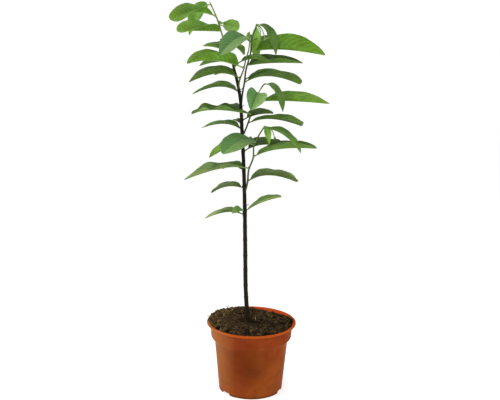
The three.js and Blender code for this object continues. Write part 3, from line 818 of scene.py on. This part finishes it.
def pot_profile():
    """Radius and height round the pot's section, from the middle of the underside out, up and in again."""
    top, lip, collar, shoulder = POT.height, POT.lip_radius, POT.collar_radius, POT.collar_foot
    body, foot, panel, recess, wall = POT.body_radius, POT.foot_radius, POT.panel_radius, POT.recess, POT.wall
    lip_base = top - POT.lip_height
    body_top = lip_base - POT.collar_height - POT.step_height
    collar_base = body_top + POT.step_height
    inside = foot - POT.foot_width
    outer = [
        (0, 0), (panel - 0.6, 0), (panel, 0.2), (panel + 1.5, recess - 0.3), (panel + 2, recess),
        (inside - 1, recess), (inside - 0.4, recess - 0.5), (inside, 0.4), (inside + 0.3, 0),
        (foot - 0.4, 0), (foot, 0.4), (body - 0.08, body_top - 1.5), (body + 0.02, body_top - 0.6),
        (body + 0.2, body_top + 0.1), (body + 0.8, body_top + 0.9), (shoulder - 1.1, collar_base - 1.6),
        (shoulder - 0.3, collar_base - 0.4), (shoulder, collar_base + 0.8), (collar - 0.1, lip_base - 1.2),
        (collar + 0.5, lip_base - 0.2), (collar + 1.6, lip_base + 0.3), (lip - 1.2, lip_base + 0.4),
        (lip - 0.4, lip_base + 0.7), (lip, lip_base + 1.3), (lip, top - 1.1), (lip - 0.4, top - 0.35),
        (lip - 1.2, top), (lip - 2.6, top), (lip - 3.5, top - 0.35), (collar + 0.7, top - 1.2),
    ]
    inner = [
        (collar - wall + 0.5, lip_base - 0.5), (collar - wall, lip_base - 2),
        (shoulder - wall, collar_base + 0.5), (shoulder - wall - 0.8, collar_base - 1),
        (body - wall + 0.4, body_top + 0.6), (body - wall, body_top - 1),
        (foot - wall + 0.3, recess + wall + 1), (inside - 1, recess + wall), (panel + 0.5, recess + wall),
        (panel - 1.2, recess + wall - 0.6), (panel - 2, wall), (0, wall),
    ]
    return outer + inner


def round_off(profile, step):
    """Adds points so that no straight run is longer than step."""
    fine = [profile[0]]
    for a, b in zip(profile, profile[1:]):
        count = max(1, math.ceil(math.dist(a, b) / step))
        shares = [k / count for k in range(1, count + 1)]
        fine += [(a[0] + (b[0] - a[0]) * share, a[1] + (b[1] - a[1]) * share) for share in shares]
    return fine


def in_notch(angle):
    """How deep a turn round the foot lies in a drainage cut, from 0 outside to 1 inside."""
    turn = math.degrees(angle)
    away = min(abs((turn - n + 180) % 360 - 180) for n in POT.notch_turns)
    return float(smooth(POT.notch_width / 2 + 0.5 - away))


def pot_shell():
    """The turned pot, a little out of round towards its top, with the drainage cuts in its foot ring."""
    segments = 216
    profile = round_off(pot_profile(), 2.2)
    foot_ring = POT.foot_radius - POT.foot_width - 0.6
    points = []
    for r, z in profile[1:-1]:
        for angle in np.arange(segments) * TAU / segments:
            wobble = 0.12 * math.sin(2 * angle + 0.7) + 0.07 * math.sin(5 * angle + z * 0.05)
            reach = r + wobble * z / POT.height
            height = z
            if r > foot_ring and z < POT.notch_height:
                height = z + (POT.notch_height - z) * in_notch(angle)
            points.append((reach * math.cos(angle), reach * math.sin(angle), height))
    points += [(0, 0, profile[0][1]), (0, 0, profile[-1][1])]
    return points, closed_faces(len(profile) - 2, segments)


def drill_holes(pot):
    """Cuts the drain holes into the raised ring of the pot's floor."""
    ring = (POT.panel_radius + POT.foot_radius - POT.foot_width) / 2
    drills = []
    for i in range(POT.drain_holes):
        centre = ring * outward_of((i + 0.5) * 360 / POT.drain_holes)
        drills.append(tube([centre + UP * z for z in (-2.0, 4.0, 9.0)], [POT.drain_radius] * 3, 28))
    points, faces = joined(drills)
    mesh = bpy.data.meshes.new("drills")
    mesh.from_pydata((points * MM).tolist(), [], faces)
    drill = add_object("drills", mesh)
    holes = pot.modifiers.new("drain_holes", "BOOLEAN")
    holes.operation = "DIFFERENCE"
    holes.solver = "EXACT"
    holes.object = drill
    settled = bpy.data.meshes.new_from_object(pot.evaluated_get(bpy.context.evaluated_depsgraph_get()))
    pot.modifiers.clear()
    pot.data = settled
    bpy.data.objects.remove(drill)
    for face in pot.data.polygons:
        face.use_smooth = True


def pot_paint():
    """Brown-orange recycled plastic: cloudy flow marks, fine scuffs and a brighter inner wall, with painted
    light: a lip lit from above, a sheen on the left side, and shade on the front's middle and along the foot.
    """
    paint = Paint("pot_plastic", 0.01)
    height = paint.axis(paint.where, "Z")
    cloud = paint.noise(17, 3, paint.stretched(1, 1, 0.8))
    streaks = paint.noise(90, 4, paint.stretched(1, 1, 0.1), 0.65)
    paint.colour = paint.mix((0.215, 0.036, 0.008), (0.32, 0.075, 0.013), paint.span(cloud, 0.36, 0.64))
    paint.coat((0.125, 0.03, 0.01), paint.span(paint.noise(38, 2), 0.5, 0.62, 0, 0.32))
    # painted shade on the middle of the pot's front, darkest there and gone within 45 mm
    painted_front_shade = paint.distance(paint.moved(0.004, 0.056, -0.052))
    paint.coat((0.1, 0.018, 0.003), paint.span(painted_front_shade, 0.0, 0.045, 0.75, 0))
    paint.coat((0.15, 0.033, 0.008), paint.span(streaks, 0.55, 0.75, 0, 0.4))
    collar = paint.span(height, 0.079, 0.082, 0, 0.35)
    paint.coat((0.26, 0.038, 0.01), collar)
    # painted light on the lip: brighter orange above 97.5 mm, as if lit from above
    lip = paint.span(height, 0.0975, 0.1, 0, 0.85)
    paint.coat((0.53, 0.094, 0.013), lip)
    # a painted tan sheen on the pot's left side, fading out towards the middle
    wear_and_painted_sheen = paint.span(paint.axis(paint.where, "X"), -0.052, -0.022, 0.6, 0)
    paint.coat((0.44, 0.175, 0.055), wear_and_painted_sheen)
    across = paint.distance(paint.stretched(1, 1, 0))
    inside = paint.math("LESS_THAN", across, paint.span(height, 0.0998, 0.1004, 0.0592, 0.0615))
    paint.coat((0.68, 0.075, 0.012), paint.times(inside, paint.span(height, 0.0905, 0.0985)))
    # painted shade along the bottom of the pot, darkest at the floor and gone by about 4 mm up
    foot = paint.span(height, 0.0004, 0.0042, 0.75, 0)
    paint.coat((0.045, 0.013, 0.006), foot)
    dust = paint.span(paint.noise(210, 6, rough=0.75), 0.55, 0.7)
    paint.coat((0.2, 0.11, 0.045), paint.times(dust, paint.span(height, 0.0, 0.1, 0.25, 0.1)))
    paint.bump(paint.math("ADD", paint.noise(700, 3), paint.times(streaks, 0.8)), 0.18, 0.0003)
    return paint.finish(paint.span(paint.noise(120, 4), 0.3, 0.7, 0.4, 0.52))


def make_pot():
    drill_holes(make_piece("pot_shell", [(*pot_shell(), pot_paint(), None)], ["pot"]))


# ---------------- peat

# clods and grit of the surface with the scales of their noise, and the dimple that the stem stands in
BED = Sizes(clods=2.6, clod_scale=0.11, grit=1.1, grit_scale=0.55, dimple=2.6, dimple_reach=7)

# the peat that runs over the lip: turns it begins and ends at, how far it takes to do so, height and radius
SPILL = Sizes(begin=92, begins_in=16, end=192, ends_in=22, height=103.3, radius=63.7)

# low swells and hollows of the bed: middle, reach, height
SWELLS = [((60, 3), 22, 6.6), ((24, 54), 18, -2.2), ((0, -56), 26, 2.0), ((-54, -14), 20, 0.8)]

# inner face of the pot's upper wall and lip: height, radius
POT_WALL = [(82, 57.2), (97.8, 58.5), (99.3, 59.0), (101.8, 60.6), (102.6, 61.3), (103.05, 62.2)]

# sides of the peat down to its underside: radius, height
PLUG = [(57.0, 90), (54.2, 80), (50.6, 72), (45.6, 8), (25, 3)]

# near-black places on the peat by the stem and along the pot's wall, partly damp peat and partly painted
# shade: x, y, reach
WET_AND_SHADED_SPOTS = [(2, -3, 9), (45, 24, 9), (54, 17, 8), (-45, -29, 8), (-33, -42, 7), (22, -51, 9), (-6, -52, 8),
             (58, -4, 7)]

# pale crumbs that lie on the peat: x, y, size
PALE_CRUMBS = [(-16.3, 20.5, 1.9), (-12.5, 18, 1.3), (-29, -40, 1.7), (51, 9.4, 1.7), (40.3, -37.6, 1.1),
               (-7, 3, 1.1)]

# a pale stick in the peat and fibres that stand over the lip: radius, points from foot to tip
FIBRES = [
    (0.75, [(5.7, 7.3, 99.5), (5.6, 7.5, 103), (5.8, 7.8, 106.5)]),
    (0.4, [(-60.5, 8, 101.5), (-62.2, 9.4, 104), (-64, 10.5, 106.8)]),
    (0.35, [(-61, 3, 101.5), (-62.8, 4, 103.6), (-63.8, 5.5, 105.4)]),
    (0.4, [(-31, 48, 102.5), (-34.5, 49, 105), (-39.5, 50, 108.6)]),
    (0.35, [(-51, 31, 102.5), (-51.8, 32, 105), (-51, 33.5, 107.6)]),
]

# an icosahedron, which crumbs are made from
GOLDEN = (1 + math.sqrt(5)) / 2
ICO_CORNERS = np.array([np.roll((one, long, 0), turn) for turn in range(3) for long in (GOLDEN, -GOLDEN)
                        for one in (-1, 1)]) / math.hypot(1, GOLDEN)
ICO_FACES = [
    (0, 11, 5), (0, 5, 1), (0, 1, 7), (0, 7, 10), (0, 10, 11), (1, 5, 9), (5, 11, 4), (11, 10, 2), (10, 7, 6),
    (7, 1, 8), (3, 9, 4), (3, 4, 2), (3, 2, 6), (3, 6, 8), (3, 8, 9), (4, 9, 5), (2, 4, 11), (6, 2, 10),
    (8, 6, 7), (9, 8, 1)]


def hump(x, y, middle, reach):
    """1 at its middle, falling off smoothly past its reach."""
    away = math.hypot(x - middle[0], y - middle[1]) / reach
    return math.exp(-away * away)


def soil_height(x, y):
    turn = math.radians(SOIL.slope_turn)
    slope = SOIL.slope * (x * math.cos(turn) + y * math.sin(turn))
    lumps = math.sin(x * 0.31 + 1.3) * math.sin(y * 0.27 + 0.4) + math.sin(x * 0.17 - y * 0.23)
    return SOIL.level + slope + SOIL.lump * lumps + SOIL.heap * hump(x, y, SOIL.heap_place, SOIL.heap_reach)


def bed_height(x, y):
    """The peat's surface with its clods, and the dimple that the stem stands in."""
    place = Vector((x, y, 0))
    clods = noise.fractal(place * BED.clod_scale, 0.8, 2.1, 5) * BED.clods
    clods += noise.noise(place * BED.grit_scale) * BED.grit
    level = soil_height(x, y) + clods - BED.dimple * hump(x, y, TRUNK.route[0], BED.dimple_reach)
    for middle, reach, height in SWELLS:
        level += height * hump(x, y, middle, reach)
    out = math.hypot(x, y)
    over = spill(math.atan2(y, x)) * smooth((out - 44) / 14)
    return level + over * (SPILL.height + 0.4 * clods - level) - (1 - over) * smooth((out - 55) / 4)


def spill(angle):
    """How far the peat runs over the pot's lip at a turn: 1 from the back round to the left, else 0."""
    turn = math.degrees(angle) % 360
    return float(smooth((turn - SPILL.begin) / SPILL.begins_in) * smooth((SPILL.end - turn) / SPILL.ends_in))


def bed_edge(angle):
    """Radius and height of the peat's edge at a turn."""
    height = bed_height(59 * math.cos(angle), 59 * math.sin(angle))
    over = spill(angle)
    radius = read_off(POT_WALL, min(height, 102.6)) * (1 - over) + SPILL.radius * over - 0.15
    return radius, max(height, SPILL.height * over)


def soil_paint(name, dark, light):
    """Crumbly peat, lighter on the left, and almost black by the stem and along the wall, partly damp and
    partly painted shade.
    """
    paint = Paint(name, 0.1)
    paint.colour = paint.mix(dark, light, paint.span(paint.noise(420, 6, rough=0.75), 0.4, 0.66))
    paint.coat(dark, paint.span(paint.noise(95, 3), 0.42, 0.6, 0.8, 0))
    paint.coat(light, paint.span(paint.axis(paint.where, "X"), -0.06, -0.005, 0.55, 0.04))
    # damp peat and painted shade: near-black spots by the stem and along the wall
    for x, y, reach in WET_AND_SHADED_SPOTS:
        away = paint.distance(paint.moved(-x * MM, -y * MM, -0.101))
        paint.coat((0.008, 0.005, 0.003), paint.span(away, reach * 0.5 * MM, reach * MM, 0.85, 0))
    paint.bump(paint.noise(900, 4, rough=0.7), 0.9, 0.0008)
    return paint.finish(0.95)


def crumb(rng, size, flat):
    """A rough lump: an icosahedron with every corner pushed in or out, then turned."""
    points = ICO_CORNERS * np.array([[0.7 + 0.6 * rng.random()] for _ in ICO_CORNERS])
    points *= np.array([1, 0.55 + 0.4 * rng.random(), flat]) * size
    angle = rng.random() * TAU
    axis = Vector((rng.random() - 0.5, rng.random() - 0.5, 1)).normalized()
    return points @ np.array(Matrix.Rotation(angle, 3, axis)).T, ICO_FACES


def crumb_on_bed(rng, x, y, size, flat, lift):
    """A crumb that lies on the peat, its middle lifted by a share of its size."""
    points, faces = crumb(rng, size, flat)
    return points + np.array([x, y, bed_height(x, y) + size * lift]), faces


def strand(rng, x, y, length, radius):
    """A short bent fibre that lies on the peat, with one end that may stand up."""
    steps = 7
    heading = rng.random() * TAU
    bend = (rng.random() - 0.5) * 1.6
    lift = rng.random() ** 3 * 0.8
    centres = []
    z = bed_height(x, y) + 0.8
    for k in range(steps + 1):
        centres.append((x, y, z + lift * length * (k / steps) ** 2))
        x += math.cos(heading + bend * k / steps) * length / steps
        y += math.sin(heading + bend * k / steps) * length / steps
    return tube(centres, np.linspace(radius, radius * 0.5, steps + 1), 5)


def scatter(rng, count, make):
    """Joins count shapes from make(x, y), spread evenly over the peat but not at the stem."""
    shapes = []
    for _ in range(count):
        share, angle = math.sqrt(rng.random()), rng.random() * TAU
        radius = share * (bed_edge(angle)[0] - 1.6 + 0.9 * spill(angle))
        x, y = radius * math.cos(angle), radius * math.sin(angle)
        if math.hypot(x - TRUNK.route[0][0], y - TRUNK.route[0][1]) >= 6:
            shapes.append(make(x, y))
    return joined(shapes)


def bed_shape():
    """The peat's plug: its surface, two hems that tuck it in at the pot's wall, its sides and underside."""
    rings, segments = 92, 220
    angles = np.arange(segments) * TAU / segments
    edges = [bed_edge(a) for a in angles]
    points = []
    for share in np.sqrt(np.linspace(0.0004, 1, rings)):
        for angle, (edge, _) in zip(angles, edges):
            x, y = share * edge * math.cos(angle), share * edge * math.sin(angle)
            lip_top = 103.25 if share * edge > 61 else 0
            points.append((x, y, max(bed_height(x, y), lip_top)))
    hems = [[(min(edge, read_off(POT_WALL, z - 0.8)), min(z - 0.8, 103.1)) for edge, z in edges],
            [(read_off(POT_WALL, min(z - 2.5, 100.5)) - 0.3, min(z - 2.5, 100.5)) for edge, z in edges]]
    for row in hems + [[place] * segments for place in PLUG]:
        points += [(r * math.cos(a), r * math.sin(a), z) for a, (r, z) in zip(angles, row)]
    points += [(0, 0, bed_height(0, 0)), (0, 0, PLUG[-1][1])]
    return points, closed_faces(rings + len(hems) + len(PLUG), segments, flip=True)


def make_soil():
    dark = soil_paint("peat_dark", (0.012, 0.0075, 0.004), (0.1, 0.061, 0.026))
    brown = soil_paint("peat_brown", (0.055, 0.034, 0.013), (0.33, 0.205, 0.078))
    pale = soil_paint("peat_pale", (0.2, 0.14, 0.055), (0.5, 0.38, 0.18))
    straw = rib_paint("peat_straw", (0.42, 0.32, 0.15))
    make_piece("peat_bed", [(*bed_shape(), dark, None)], ["soil"])
    rng = random.Random(11)

    def lump(low, high, lift):
        return lambda x, y: crumb_on_bed(rng, x, y, low + (high - low) * rng.random() ** 2.2, 0.75, lift)

    def fibre(low, high, radius):
        return lambda x, y: strand(rng, x, y, low + (high - low) * rng.random(), radius)

    for name, material, count, make in (
            ("peat_crumbs_dark", dark, 1900, lump(0.7, 4.0, 0.2)),
            ("peat_crumbs_brown", brown, 2300, lump(0.55, 2.1, 0.35)),
            ("peat_crumbs_pale", pale, 260, lump(0.5, 1.6, 0.5)),
            ("peat_fibres_brown", brown, 520, fibre(5, 13, 0.32)),
            ("peat_fibres_pale", pale, 150, fibre(4, 12, 0.26))):
        make_piece(name, [(*scatter(rng, count, make), material, None)])
    shapes = [crumb_on_bed(rng, x, y, size, 0.8, 0.6) for x, y, size in PALE_CRUMBS]
    for radius, route in FIBRES:
        shapes.append(tube(Curve(route).at(np.linspace(0, 1, 9)), np.linspace(radius, radius * 0.6, 9), 6))
    make_piece("peat_straws", [(*joined(shapes), straw, None)])


# ---------------- the scene

add_camera()
add_lights()
add_floor()
make_pot()
make_soil()
grow_stems()
grow_leaves()
